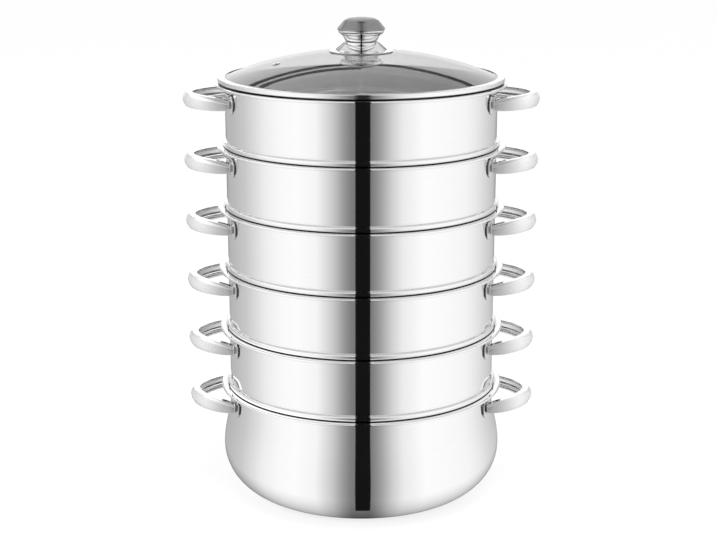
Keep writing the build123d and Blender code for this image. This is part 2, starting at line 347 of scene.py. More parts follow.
def hand_over(piece, body, slot, finish, *nodes):
    """The finished piece rides on its body, takes its finish and stands for its frame pieces."""
    piece.data.materials.clear()
    piece.data.materials.append(finish)
    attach(piece, body)
    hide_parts(*nodes)


# Finishes

class Maths:
    """Small sums on the world's or a material's nodes."""

    def __init__(self, tree):
        self.nodes, self.links = tree.nodes, tree.links

    def put(self, socket, value):
        if hasattr(value, "is_output"):
            self.links.new(value, socket)
        else:
            socket.default_value = value

    def sum(self, operation, *values):
        node = self.nodes.new("ShaderNodeMath")
        node.operation = operation
        for socket, value in zip(node.inputs, values):
            self.put(socket, value)
        return node.outputs[0]

    def between(self, value, low, high):
        """One where the value lies between two limits."""
        above = self.sum("GREATER_THAN", value, low)
        below = self.sum("LESS_THAN", value, high)
        return self.sum("MULTIPLY", above, below)

    def length(self, first, second):
        squares = self.sum("ADD", self.sum("POWER", first, 2.0), self.sum("POWER", second, 2.0))
        return self.sum("SQRT", squares)

    def ease(self, value, start, end, before=0.0, after=1.0, kind="SMOOTHSTEP"):
        node = self.nodes.new("ShaderNodeMapRange")
        node.interpolation_type = kind
        node.inputs["From Min"].default_value = start
        node.inputs["From Max"].default_value = end
        node.inputs["To Min"].default_value = before
        node.inputs["To Max"].default_value = after
        self.put(node.inputs["Value"], value)
        return node.outputs["Result"]

    def blend(self, share, first, second):
        node = self.nodes.new("ShaderNodeMix")
        self.put(node.inputs["Factor"], share)
        self.put(node.inputs["A"], first)
        self.put(node.inputs["B"], second)
        return node.outputs["Result"]


noise_spread = (0.3, 0.7)              # where nearly all values of a noise lie
line_detail = 3
crevice_samples = 6
# the colour of the painted shade in the steel's crevices
crevice_shade_tone = (0.05, 0.05, 0.052, 1)
glass_tone = (0.99, 0.996, 0.994, 1)
glass_index = 1.85                     # stronger reflections than real glass, which has 1.5
glass_lines = (90, 4)
glass_roughness = (0.0, 0.006)
rubber_dark = (0.55, 0.56, 0.56, 1)
rubber_light = (0.68, 0.69, 0.69, 1)
rubber_grain = 900
rubber_roughness = (0.45, 0.6)
rubber_bump = 0.2
rubber_bump_depth = 0.0001


def new_finish(name):
    finish = bpy.data.materials.new(name)
    finish.use_nodes = True
    nodes = finish.node_tree.nodes
    return finish, nodes, finish.node_tree.links, nodes["Principled BSDF"]


def turning_lines(nodes, links, fine, slow):
    """Noise drawn out round the pot's axis, as polishing on a turning spindle leaves it."""
    place = nodes.new("ShaderNodeTexCoord")
    split = nodes.new("ShaderNodeSeparateXYZ")
    links.new(place.outputs["Object"], split.inputs[0])
    flat = nodes.new("ShaderNodeCombineXYZ")
    links.new(split.outputs["X"], flat.inputs["X"])
    links.new(split.outputs["Y"], flat.inputs["Y"])
    reach = nodes.new("ShaderNodeVectorMath")
    reach.operation = "LENGTH"
    links.new(flat.outputs[0], reach.inputs[0])
    turn = nodes.new("ShaderNodeMath")
    turn.operation = "ARCTAN2"
    links.new(split.outputs["Y"], turn.inputs[0])
    links.new(split.outputs["X"], turn.inputs[1])
    wound = nodes.new("ShaderNodeCombineXYZ")
    links.new(reach.outputs["Value"], wound.inputs["X"])
    links.new(split.outputs["Z"], wound.inputs["Y"])
    links.new(turn.outputs[0], wound.inputs["Z"])
    stretch = nodes.new("ShaderNodeVectorMath")
    stretch.operation = "MULTIPLY"
    stretch.inputs[1].default_value = (fine, fine, slow)
    links.new(wound.outputs[0], stretch.inputs[0])
    lines = nodes.new("ShaderNodeTexNoise")
    lines.inputs["Scale"].default_value = 1
    lines.inputs["Detail"].default_value = line_detail
    links.new(stretch.outputs[0], lines.inputs["Vector"])
    return lines


def ranged(nodes, links, source, low, high):
    spread = nodes.new("ShaderNodeMapRange")
    spread.inputs["From Min"].default_value = noise_spread[0]
    spread.inputs["From Max"].default_value = noise_spread[1]
    spread.inputs["To Min"].default_value = low
    spread.inputs["To Max"].default_value = high
    links.new(source, spread.inputs["Value"])
    return spread.outputs["Result"]


def steel_finish(name, bright, dull, smooth, rough, crevice=0.0025, fine=1400, slow=6):
    """Polished stainless steel with polishing lines, and painted shade darkening its crevices."""
    finish, nodes, links, surface = new_finish(name)
    surface.inputs["Metallic"].default_value = 1
    lines = turning_lines(nodes, links, fine, slow)
    links.new(ranged(nodes, links, lines.outputs["Fac"], smooth, rough), surface.inputs["Roughness"])
    tint = nodes.new("ShaderNodeMix")
    tint.data_type = "RGBA"
    tint.inputs[6].default_value = (*dull, 1)
    tint.inputs[7].default_value = (*bright, 1)
    links.new(lines.outputs["Fac"], tint.inputs["Factor"])
    # Painted shade: ambient occlusion darkens the colour in crevices and where parts meet, where shade
    # falls.
    hollow = nodes.new("ShaderNodeAmbientOcclusion")
    hollow.samples = crevice_samples
    hollow.inputs["Distance"].default_value = crevice
    links.new(tint.outputs[2], hollow.inputs["Color"])
    crevice_shade = nodes.new("ShaderNodeMix")
    crevice_shade.data_type = "RGBA"
    crevice_shade.inputs[6].default_value = crevice_shade_tone
    links.new(ranged(nodes, links, hollow.outputs["AO"], 0.0, 1.0), crevice_shade.inputs["Factor"])
    links.new(tint.outputs[2], crevice_shade.inputs[7])
    links.new(crevice_shade.outputs[2], surface.inputs["Base Color"])
    return finish


def glass_finish():
    finish, nodes, links, surface = new_finish("tempered_glass")
    surface.inputs["Base Color"].default_value = glass_tone
    surface.inputs["Transmission Weight"].default_value = 1
    surface.inputs["IOR"].default_value = glass_index
    lines = turning_lines(nodes, links, *glass_lines)
    links.new(ranged(nodes, links, lines.outputs["Fac"], *glass_roughness), surface.inputs["Roughness"])
    return finish


def rubber_finish():
    finish, nodes, links, surface = new_finish("seal_rubber")
    place = nodes.new("ShaderNodeTexCoord")
    grain = nodes.new("ShaderNodeTexNoise")
    grain.inputs["Scale"].default_value = rubber_grain
    links.new(place.outputs["Object"], grain.inputs["Vector"])
    tint = nodes.new("ShaderNodeMix")
    tint.data_type = "RGBA"
    tint.inputs[6].default_value = rubber_dark
    tint.inputs[7].default_value = rubber_light
    links.new(grain.outputs["Fac"], tint.inputs["Factor"])
    links.new(tint.outputs[2], surface.inputs["Base Color"])
    links.new(ranged(nodes, links, grain.outputs["Fac"], *rubber_roughness), surface.inputs["Roughness"])
    bump = nodes.new("ShaderNodeBump")
    bump.inputs["Strength"].default_value = rubber_bump
    bump.inputs["Distance"].default_value = rubber_bump_depth
    links.new(grain.outputs["Fac"], bump.inputs["Height"])
    links.new(bump.outputs["Normal"], surface.inputs["Normal"])
    return finish


satin_centre_inset = 0.012             # the loops' middle, in from the wall
satin_facing = (0.78, 0.92)            # how squarely a face looks outward to be satin
satin_reach = (0.140, 0.172)           # from the foot to the end of the loop
# how much painted shade darkens the outward face's colour by the foot
painted_foot_shade_share = 0.5                 # darker by the foot
satin_metal = (0.95, 0.5)              # metal of the satin by the foot and at the end
satin_rough = (0.16, 0.24)


def satin_face(finish, loop_centre_x, smooth, rough):
    """The outward face of each handle is satin, most at its end, and painted shade darkens it towards the
    foot; the other faces are polished.
    """
    nodes, links = finish.node_tree.nodes, finish.node_tree.links
    surface = nodes["Principled BSDF"]
    maths = Maths(finish.node_tree)
    place = nodes.new("ShaderNodeTexCoord")
    where = nodes.new("ShaderNodeSeparateXYZ")
    links.new(place.outputs["Object"], where.inputs[0])
    looks = nodes.new("ShaderNodeSeparateXYZ")
    links.new(place.outputs["Normal"], looks.inputs[0])
    side = maths.sum("SIGN", where.outputs["X"])
    out_x = maths.sum("SUBTRACT", where.outputs["X"], maths.sum("MULTIPLY", side, loop_centre_x))
    reach = maths.length(out_x, where.outputs["Y"])
    dot = maths.sum("ADD", maths.sum("MULTIPLY", out_x, looks.outputs["X"]),
                    maths.sum("MULTIPLY", where.outputs["Y"], looks.outputs["Y"]))
    outward = maths.ease(maths.sum("DIVIDE", dot, reach), *satin_facing)
    polish = surface.inputs["Roughness"].links[0].from_socket
    grain = ranged(nodes, links, polish, smooth, rough)
    links.new(maths.blend(outward, polish, grain), surface.inputs["Roughness"])
    # Painted shade: the base colour of the outward face darkens towards the foot.
    far = maths.ease(maths.sum("ABSOLUTE", where.outputs["X"]), *satin_reach)
    near = maths.sum("MULTIPLY", outward, maths.sum("SUBTRACT", 1.0, far))
    painted_foot_shade = maths.sum("SUBTRACT", 1.0, maths.sum("MULTIPLY", near, painted_foot_shade_share))
    shade = nodes.new("ShaderNodeMix")
    shade.data_type = "RGBA"
    shade.blend_type = "MULTIPLY"
    shade.inputs["Factor"].default_value = 1
    base = surface.inputs["Base Color"].links[0].from_socket
    links.new(base, shade.inputs[6])
    links.new(painted_foot_shade, shade.inputs[7])
    links.new(shade.outputs[2], surface.inputs["Base Color"])
    end_metal = maths.blend(far, *satin_metal)
    links.new(maths.blend(outward, 1.0, end_metal), surface.inputs["Metallic"])


polished_steel = steel_finish(
    "polished_steel", (0.92, 0.92, 0.925), (0.87, 0.87, 0.875), 0.025, 0.05, crevice=0.005,
)
handle_steel = steel_finish(
    "handle_steel", (0.92, 0.92, 0.925), (0.84, 0.84, 0.845), 0.05, 0.09, crevice=0.009, fine=500, slow=20,
)
plate_steel = steel_finish("plate_steel", (0.88, 0.88, 0.885), (0.80, 0.80, 0.805), 0.14, 0.24)
band_steel = steel_finish("band_steel", (0.92, 0.92, 0.925), (0.86, 0.86, 0.865), 0.1, 0.15, crevice=0.006)
knob_steel = steel_finish("knob_steel", (0.90, 0.90, 0.905), (0.82, 0.82, 0.825), 0.04, 0.08)
# Painted reflection: the cap's steel is a much darker copy of the knob's steel, for the dark surroundings
# that its top reflects.
shaded_cap_steel = steel_finish("shaded_cap_steel", (0.38, 0.38, 0.385), (0.26, 0.26, 0.265), 0.24, 0.32, fine=900)
satin_face(handle_steel, wall_radius - satin_centre_inset, *satin_rough)
tempered_glass = glass_finish()
seal_rubber = rubber_finish()


# Shells

def rim_rings(rim_height):
    """Rings and bends of the rim, from the wall out and round the rolled edge."""
    hollow = curl_diameter - 2 * sheet
    underside = rim_height - sheet
    curl_out = flange_radius - sheet
    rings = [
        (wall_radius, underside),
        (curl_out, underside),
        (curl_out, underside - hollow),
        (curl_out - hollow, underside - hollow),
        (curl_out - hollow, underside - hollow + hollow * curl_return_share),
    ]
    return rings, [flange_bend] + 3 * [hollow * curl_bend_share]


def pot_shell():
    drop = pot_height - neck_drop - pot_corner_radius
    reach = (drop**2 + belly_swell**2) / (4 * drop)
    side_bend = belly_bend_share * reach * drop / belly_swell
    rim, rim_bends = rim_rings(pot_height)
    rings = [
        (base_middle, 0),
        (belly_radius, 0),
        (belly_radius, pot_corner_radius + reach),
        (wall_radius, pot_height - neck_drop - reach),
        *rim,
    ]
    return rings, [pot_corner_radius, side_bend, side_bend, *rim_bends]


def make_pot_shell():
    rings, bends = pot_shell()
    piece = pulled_wall("pot_shell", rings, bends, wall_facets, arc_facets)
    open_mesh(piece)
    pick_ring(*rings[0])
    bpy.ops.mesh.edge_face_add()
    close_mesh()
    thicken(piece, sheet)
    finish_smooth(piece)
    return piece


def make_tier_shell():
    bead_radius = wall_radius + bead_swell
    rim, rim_bends = rim_rings(tier_pitch)
    rings = [
        (ledge_radius, -nest_depth),
        (collar_outer_radius, -nest_depth),
        (collar_outer_radius, 0),
        (bead_radius, 0),
        (bead_radius, bead_height),
        (wall_radius, bead_height),
        *rim,
    ]
    bends = [
        ledge_bend,
        seat_bend,
        bead_foot_bend,
        bead_swell * bead_top_bend_share,
        bead_swell * bead_root_bend_share,
        *rim_bends,
    ]
    return sheet_ring("tier_shell", rings, bends, sheet)


# Handles

def loop_centre(turn):
    """Centre, width, top and bottom of the handle's section at an angle round its loop."""
    root_x = sqrt(wall_radius**2 - handle_half_span**2) - handle_root_overrun
    middle_reach = wall_radius + handle_reach - handle_end_width / 2 - root_x
    swing = max(cos(turn), 0)
    side = copysign(1, turn)
    stretch = 2 / handle_loop_power
    fade = (1 - swing) ** handle_root_fade
    width = handle_root_width + (handle_end_width - handle_root_width) * swing
    top = -handle_end_top + (handle_end_top - handle_root_top) * fade
    bottom = -handle_end_bottom + (handle_end_bottom - handle_root_bottom) * fade
    centre = Vector((
        root_x + middle_reach * swing**stretch,
        handle_half_span * side * abs(sin(turn)) ** stretch,
        (top + bottom) / 2,
    ))
    facing = atan2(
        side * abs(sin(turn)) ** (2 - stretch) / handle_half_span,
        swing ** (2 - stretch) / middle_reach,
    )
    return centre, width, top - bottom, facing


def make_handle():
    """Right-hand loop at rim plane zero: a section extruded step by step round the crescent."""
    turns = [handle_root_turn * (2 * step / handle_steps - 1) for step in range(handle_steps + 1)]
    centre, width, height, facing = loop_centre(turns[0])
    start_fresh()
    bpy.ops.mesh.primitive_plane_add(size=1, location=(0, 0, 0), rotation=(pi / 2, 0, 0))
    piece = bpy.context.object
    piece.name = "handle"
    bpy.ops.object.transform_apply(rotation=True)
    open_mesh(piece)
    bpy.ops.mesh.select_all(action="SELECT")
    bpy.ops.transform.resize(value=(width, 1, height))
    # The crown: the outer edge is cut in two twice, and its middle points pushed out
    mesh = bmesh.from_edit_mesh(piece.data)
    mesh.select_mode = {"EDGE"}
    for edge in mesh.edges:
        edge.select_set(all(vertex.co.x > 0 for vertex in edge.verts))
    bmesh.update_edit_mesh(piece.data)
    bpy.ops.mesh.subdivide(number_cuts=handle_crown_cuts)
    mesh = bmesh.from_edit_mesh(piece.data)
    half_width, half_height = width / 2, height / 2
    for vertex in mesh.verts:
        if vertex.co.x > 0:
            bow = (vertex.co.z / half_height) ** 2
            vertex.co.x = half_width - handle_crown * bow
    for face in mesh.faces:
        face.select_set(True)
    bmesh.update_edit_mesh(piece.data)
    bpy.ops.mesh.select_mode(type="FACE")
    bpy.ops.mesh.select_all(action="SELECT")
    bpy.ops.transform.translate(value=tuple(centre))
    bpy.ops.transform.rotate(value=-facing, orient_axis="Z", center_override=tuple(centre))
    for turn in turns[1:]:
        next_centre, next_width, next_height, next_facing = loop_centre(turn)
        bpy.ops.mesh.extrude_region_move(
            TRANSFORM_OT_translate={"value": tuple(next_centre - centre)},
        )
        bpy.ops.transform.rotate(value=facing, orient_axis="Z", center_override=tuple(next_centre))
        bpy.ops.transform.resize(
            value=(next_width / width, 1, next_height / height), center_override=tuple(next_centre),
        )
        bpy.ops.transform.rotate(value=-next_facing, orient_axis="Z", center_override=tuple(next_centre))
        centre, width, height, facing = next_centre, next_width, next_height, next_facing
    bpy.ops.mesh.select_all(action="SELECT")
    bpy.ops.mesh.normals_make_consistent(inside=False)
    hollow_inner_side(piece)
    close_mesh()
    edges = piece.modifiers.new("rounded edges", "BEVEL")
    edges.width = handle_edge_radius
    edges.segments = 4
    edges.limit_method = "ANGLE"
    edges.angle_limit = crisp_angle
    bpy.ops.object.modifier_apply(modifier=edges.name)
    finish_smooth(piece, handle_crisp_angle)
    return piece


def hollow_inner_side(piece):
    """Sinks a rounded trough into the loop's inner side, with a lip left along each edge."""
    bpy.ops.mesh.select_mode(type="FACE")
    mesh = bmesh.from_edit_mesh(piece.data)
    loop_centre_x = sqrt(wall_radius**2 - handle_half_span**2)
    start_x = loop_centre_x + handle_trough_start
    for face in mesh.faces:
        place, normal = face.calc_center_median(), face.normal
        inward = Vector((loop_centre_x - place.x, -place.y, 0)).normalized()
        upright = abs(normal.z) < 0.3
        face.select_set(upright and normal.dot(inward) > 0.5 and place.x > start_x)
    mesh.select_flush_mode()
    bmesh.update_edit_mesh(piece.data)
    bpy.ops.mesh.inset(thickness=handle_lip, use_even_offset=True)
    for inset, sink in handle_trough:
        bpy.ops.mesh.inset(thickness=inset, depth=-sink, use_even_offset=True)
    bpy.ops.mesh.select_all(action="SELECT")
    bpy.ops.mesh.normals_make_consistent(inside=False)


def softened_copy(node, name, radius):
    """The frame's piece with its points joined and its sharp edges rounded."""
    source = frame["nodes"][node]
    active_piece(source)
    bpy.ops.object.duplicate(linked=False)
    piece = bpy.context.object
    piece.name = name
    piece.data.name = name
    for key in [key for key in piece.keys() if key.startswith("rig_")]:
        del piece[key]
    bpy.ops.object.parent_clear(type="CLEAR_KEEP_TRANSFORM")
    open_mesh(piece)
    bpy.ops.mesh.select_all(action="SELECT")
    bpy.ops.mesh.remove_doubles(threshold=join_reach)
    bpy.ops.mesh.dissolve_limited(angle_limit=flat_angle)
    close_mesh()
    edges = piece.modifiers.new("rounded edges", "BEVEL")
    edges.width = radius
    edges.segments = 3
    edges.limit_method = "ANGLE"
    edges.angle_limit = foot_edge_angle
    bpy.ops.object.modifier_apply(modifier=edges.name)
    finish_smooth(piece)
    return piece


# Lid and knob

def dome_height(radius, rise=0.0):
    return dome_centre + sqrt((dome_radius + rise) ** 2 - radius**2)


def dome_rings(inner, outer, rise=0.0, count=arc_facets):
    return [
        (radius, dome_height(radius, rise))
        for radius in (inner + (outer - inner) * step / count for step in range(count + 1))
    ]


def make_lid_glass():
    dome = dome_rings(glass_bore / 2, dome_edge)
    rings = [*dome, (glass_radius, glass_land_top)]
    bends = [0] * (len(dome) - 2) + [glass_edge_fillet]
    piece = pulled_wall("lid_glass", rings, bends, wall_facets)
    thicken(piece, -glass_thickness)
    return piece


def make_lid_band():
    outer = flange_radius - band_inset
    top = glass_land_top + band_sheet
    foot_outer = outer - band_foot_width
    dome_slope = asin(dome_edge / dome_radius)
    lip_end = dome_edge + glass_edge_fillet * tan(dome_slope / 2) + band_lip_gap
    rings = [
        (lip_end, top),
        (outer, top),
        (outer, band_gap),
        (foot_outer, band_gap),
        (foot_outer, 0),
        (collar_outer_radius, 0),
        (collar_outer_radius, -band_skirt),
    ]
    bends = [band_bend, band_bend, band_inner_bend, band_foot_bend, band_inner_bend]
    return sheet_ring("lid_rim_band", rings, bends, -band_sheet)


def make_knob_skirt():
    rise = gasket_thickness + seat_clearance
    underside = lid_rise + skirt_rise - skirt_sheet
    rings = [
        (skirt_radius, dome_height(skirt_radius, rise)),
        (skirt_flare_radius, dome_height(skirt_flare_radius, rise)),
        (skirt_top_radius, underside),
        (screw_diameter / 2 + screw_clearance, underside),
    ]
    return sheet_ring("knob_skirt", rings, [skirt_flare_bend, skirt_top_bend], -skirt_sheet, knob_facets)


def make_knob_neck():
    foot_height = lid_rise + skirt_rise
    steps = arc_facets
    rings = []
    for step in range(steps + 1):
        share = groove_share + (1 - 2 * groove_share) * step / steps
        hollow = neck_waist * (1 - (2 * share - 1) ** 2)
        radius = neck_foot_radius + (neck_head_radius - neck_foot_radius) * share - hollow
        rings.append((radius, foot_height + neck_height * share))
    foot, head = rings[0], rings[-1]
    rings = [
        (foot[0] - groove_depth, foot_height),
        (foot[0] - groove_depth, foot[1]),
        *rings,
        (head[0] - groove_depth, head[1]),
        (head[0] - groove_depth, foot_height + neck_height),
    ]
    return solid_ring("knob_neck", rings, [0] * (len(rings) - 2))


def make_knob_collar():
    low = lid_rise + skirt_rise + neck_height
    high = low + collar_height
    core = cap_radius / 4
    rings = [(core, low)]
    for step in range(arc_facets + 1):
        share = step / arc_facets
        radius = collar_radius + (cap_radius - collar_edge - collar_radius) * share
        rings.append((radius + collar_bulge * sin(pi * share), low + collar_height * share))
    rings.append((core, high))
    return solid_ring("knob_collar", rings, [collar_edge / 2] + [0] * (arc_facets - 1) + [collar_edge / 2])


def make_knob_cap():
    low = lid_rise + skirt_rise + neck_height + collar_height
    top = low + cap_height
    sphere = (cap_crown_radius**2 + cap_crown_drop**2) / (2 * cap_crown_drop)
    rings = [
        (cap_radius / 4, low),
        (cap_radius, low),
        (cap_radius, low + cap_rim),
        (cap_crown_radius, top - cap_crown_drop),
    ]
    bends = [cap_edge_bend, cap_shoulder_bend, cap_crown_bend]
    start = cap_crown_radius * 0.6
    pole = cap_radius / 40
    for step in range(knob_crown_facets + 1):
        radius = start + (pole - start) * step / knob_crown_facets
        rings.append((radius, top - sphere + sqrt(sphere**2 - radius**2)))
        bends.append(0)
    return solid_ring("knob_cap", rings, bends, arc_facets)


def make_knob_washer():
    seat = dome_height(washer_radius, -glass_thickness - inner_gasket_thickness - seat_clearance)
    floor_height = seat - washer_drop
    underside = seat - washer_sheet
    rings = [
        (screw_diameter / 2 + screw_clearance, floor_height),
        (washer_floor_radius, floor_height),
        (washer_radius - inner_gasket_width, underside),
        (washer_radius, underside),
    ]
    return sheet_ring("knob_inner_washer", rings, [washer_bend, washer_rim_bend], washer_sheet, knob_facets)


# Build every piece

pot = make_pot_shell()
hand_over(pot, "pot", "polished_steel", polished_steel, "pot_shell")

tier = make_tier_shell()
for number in range(1, tier_count + 1):
    copy = lifted_copy(tier, f"tier_{number}_shell_polished", rim_planes[number - 1])
    hand_over(copy, f"tier_{number}", "polished_steel", polished_steel, f"tier_{number}_shell")
bpy.data.objects.remove(tier)

loop = make_handle()
vessels = ["pot"] + [f"tier_{number}" for number in range(1, tier_count + 1)]
for vessel, rim in zip(vessels, rim_planes):
    for side, half_turn in (("right", False), ("left", True)):
        node = f"{vessel}_handle_{side}"
        copy = lifted_copy(loop, f"{node}_loop", rim, half_turn)
        hand_over(copy, vessel, "handle_steel", handle_steel, node)
        feet = softened_copy(f"{node}_feet", f"{node}_feet_rounded", foot_edge_radius)
        hand_over(feet, vessel, "handle_steel", handle_steel, f"{node}_feet")
bpy.data.objects.remove(loop)

glass = make_lid_glass()
edge = glass.modifiers.new("ground edge", "BEVEL")
edge.width = glass_edge_grind
edge.segments = 3
edge.limit_method = "ANGLE"
edge.angle_limit = glass_edge_angle
active_piece(glass)
bpy.ops.object.modifier_apply(modifier=edge.name)
finish_smooth(glass)
lid_pieces = [
    (glass, "lid_glass", tempered_glass, "lid_glass"),
    (make_lid_band(), "band_steel", band_steel, "lid_rim_band"),
    (make_knob_skirt(), "knob_steel", knob_steel, "knob_skirt"),
    (make_knob_neck(), "knob_steel", knob_steel, "knob_neck"),
    (make_knob_collar(), "knob_steel", knob_steel, "knob_collar"),
    (make_knob_cap(), "knob_steel", shaded_cap_steel, "knob_cap"),
    (make_knob_washer(), "knob_steel", knob_steel, "knob_inner_washer"),
]
for piece, slot, finish, node in lid_pieces:
    put_in_place(piece, lid_plane)
    piece.name = f"{node}_finished"
    hand_over(piece, "lid", slot, finish, node)

kept_nodes = {
    "steam_plate": plate_steel,
    "lid_vent_eyelet": knob_steel,
    "knob_upper_gasket": seal_rubber,
    "knob_lower_gasket": seal_rubber,
    "knob_screw": knob_steel,
}
for name, node in frame["nodes"].items():
    for ending, finish in kept_nodes.items():
        if name.endswith(ending):
            for material_slot in node.material_slots:
                material_slot.material = finish


# Studio

# Brightness of the cards round the pot, by angle from the front, positive to the right
studio_cards = [
    (-180, 0.10), (-175, 0.22), (-168, 0.38), (-155, 0.49), (-136, 0.55), (-117, 0.64), (-101, 0.80),
    (-89, 0.95), (-72, 1.06), (-56, 1.09), (-38, 1.02), (-24, 0.66), (-15, 0.37),
    (-9, 0.24), (-5, 0.21), (8, 0.21), (13, 0.31),
    (17, 0.41), (26, 0.70), (35, 0.93), (54, 1.09), (75, 1.07), (99, 1.02),
    (113, 0.92), (130, 0.76), (142, 0.67), (155, 0.58), (168, 0.40), (175, 0.22), (180, 0.10),
]
dark_card = (-4.9, 7.6)                # the black gap round the lens, left and right, in degrees
back_card_half_width = 0.4             # a thin dark post behind the pot
back_card_height = (9.0, 22.0)
light_stand = (156.0, 163.0)           # a dark stand on either side behind
stand_height = (10.0, 24.0)
card_top = (14.0, 20.0)                # the side cards end, and the white backdrop begins
behind_edge = (140.0, 166.0)           # past this turn the backdrop comes down to eye level
behind_top = (-12.0, 4.0)
backdrop_tone = 1.12
backdrop_glow = -0.7                   # negative: the backdrop is brighter to the left
backdrop_top = (26.0, 28.0)            # the backdrop ends, and the wall above it begins
backdrop_seam = (26.3, 29.0)           # the black rail along the backdrop's top
left_seam = (30.4, 32.8)               # and a second one to the left
wall_top = (52.0, 58.0)                # the wall ends, and the ceiling begins
wall_turn = (150.0, 160.0)             # the wall stands only behind
wall_tone = 1.1
wall_slant = -0.9                      # negative: the wall is brighter to the left
ceiling_tone = 0.8
boom = (-25.0, 25.0)                   # the dark boom of the overhead lamp, left and right
boom_height = 76.0
rail_turn = 100.0                      # the rails run behind the pot only
gap_turn = 90.0                        # the gap round the lens is in front only
black_tone = 0.008
stand_tone = 0.03
inside_sides = (80.0, 110.0)           # from the front to the back, seen through the glass
inside_ceiling = (50.0, 62.0)
front_inside = 0.12                    # the front, the ceiling and the back seen through the glass
ceiling_inside = 0.8
inside_slant = -0.4                    # the inside is brighter to the left
back_inside = 1.1
back_inside_above = 0.35               # and the part of the back above the horizon
inside_horizon = (-2.0, 4.0)
inside_streak = (0.03, 0.12)           # a bright streak in the middle, and one to the right
inside_right_streak = (0.78, 0.88)
inside_streak_tone = 0.9
floor_lean = (0.1, 0.85)               # how the floor's tone falls as a wall leans over it
floor_share = (0.2, 1.0)
view_drop = radians(15)                # slope of the view, for which the cards are set
ambient = 0.8


def build_studio():
    room = bpy.data.worlds.new("studio")
    bpy.context.scene.world = room
    room.use_nodes = True
    nodes, links = room.node_tree.nodes, room.node_tree.links
    nodes.clear()
    maths = Maths(room.node_tree)
    place = nodes.new("ShaderNodeTexCoord")
    split = nodes.new("ShaderNodeSeparateXYZ")
    links.new(place.outputs["Generated"], split.inputs[0])
    # The cards stand so that an upright streak stays upright on a leaning wall
    front = maths.sum("SUBTRACT", cos(view_drop), split.outputs["Y"])
    turn = maths.sum("DEGREES", maths.sum("ARCTAN2", split.outputs["X"], front))
    turn = maths.sum("MULTIPLY", turn, 2.0)
    height = maths.sum("DEGREES", maths.sum("ARCSINE", split.outputs["Z"]))

    cards = nodes.new("ShaderNodeValToRGB")
    ramp = cards.color_ramp
    ramp.interpolation = "LINEAR"
    while len(ramp.elements) < len(studio_cards):
        ramp.elements.new(0.5)
    for element, (angle, tone) in zip(ramp.elements, studio_cards):
        element.position = (angle + 180) / 360
        element.color = (tone, tone, tone, 1)
    share = nodes.new("ShaderNodeMapRange")
    share.inputs["From Min"].default_value = -180
    share.inputs["From Max"].default_value = 180
    links.new(turn, share.inputs["Value"])
    links.new(share.outputs["Result"], cards.inputs["Fac"])

    # Under a leaning wall the floor shows, darker than the card that an upright wall shows
    drop = maths.sum("ADD", split.outputs["Z"], sin(view_drop))
    flat = maths.length(split.outputs["X"], front)
    lean = maths.sum("MULTIPLY", maths.length(flat, drop), flat)
    lean = maths.sum("DIVIDE", lean, maths.sum("MULTIPLY", front, 2 * cos(view_drop)))
    below = maths.ease(lean, *floor_lean, *floor_share, kind="LINEAR")
    above = maths.sum("GREATER_THAN", drop, 0)
    sides = maths.sum("MULTIPLY", cards.outputs["Color"], maths.sum("MAXIMUM", below, above))
    forward = maths.sum("MULTIPLY", split.outputs["Y"], -1.0)
    true_turn = maths.sum("ARCTAN2", split.outputs["X"], forward)
    true_turn = maths.sum("ABSOLUTE", maths.sum("DEGREES", true_turn))
    raised = maths.ease(height, *card_top)
    behind = maths.sum("MULTIPLY", maths.ease(true_turn, *behind_edge), maths.ease(height, *behind_top))
    glow = maths.sum("MULTIPLY", maths.sum("MINIMUM", split.outputs["X"], 0.0), backdrop_glow)
    backdrop = maths.sum("ADD", glow, backdrop_tone)
    tone = maths.blend(maths.sum("MAXIMUM", raised, behind), sides, backdrop)
    upper = maths.ease(height, *backdrop_top)
    tone = maths.blend(upper, tone, ceiling_tone)
    slant = maths.sum("MULTIPLY", split.outputs["X"], wall_slant)
    wall = maths.sum("MULTIPLY", upper, maths.ease(height, *wall_top, 1.0, 0.0))
    wall = maths.sum("MULTIPLY", wall, maths.ease(true_turn, *wall_turn))
    tone = maths.blend(wall, tone, maths.sum("ADD", slant, wall_tone))
    left = maths.sum("LESS_THAN", split.outputs["X"], 0.0)
    seam = maths.sum("MULTIPLY", left, maths.between(height, *left_seam))
    seam = maths.sum("MAXIMUM", seam, maths.between(height, *backdrop_seam))
    seam = maths.sum("MULTIPLY", seam, maths.sum("GREATER_THAN", true_turn, rail_turn))
    tone = maths.blend(seam, tone, black_tone)
    in_front = maths.sum("LESS_THAN", true_turn, gap_turn)
    gap = maths.sum("MULTIPLY", maths.between(turn, *dark_card), in_front)
    strip = maths.between(turn, *boom)
    strip = maths.sum("MULTIPLY", strip, maths.sum("GREATER_THAN", height, boom_height))
    tone = maths.blend(maths.sum("MAXIMUM", gap, strip), tone, black_tone)
    centre = maths.sum("GREATER_THAN", true_turn, 180 - back_card_half_width)
    post = maths.sum("MULTIPLY", centre, maths.between(height, *back_card_height))
    tone = maths.blend(post, tone, black_tone)
    stand = maths.between(true_turn, *light_stand)
    stand = maths.sum("MULTIPLY", stand, maths.between(height, *stand_height))
    tone = maths.blend(stand, tone, stand_tone)
    inside = maths.blend(maths.ease(height, *inside_horizon), back_inside, back_inside_above)
    middle = maths.ease(maths.sum("ABSOLUTE", split.outputs["X"]), *inside_streak, 1.0, 0.0)
    streak = maths.sum("MAXIMUM", middle, maths.between(split.outputs["X"], *inside_right_streak))
    facing = maths.blend(streak, front_inside, inside_streak_tone)
    inside = maths.blend(maths.ease(true_turn, *inside_sides), facing, inside)
    inside = maths.blend(maths.ease(height, *inside_ceiling), inside, ceiling_inside)
    tilt = maths.sum("ADD", maths.sum("MULTIPLY", split.outputs["X"], inside_slant), 1.0)
    inside = maths.sum("MULTIPLY", inside, tilt)

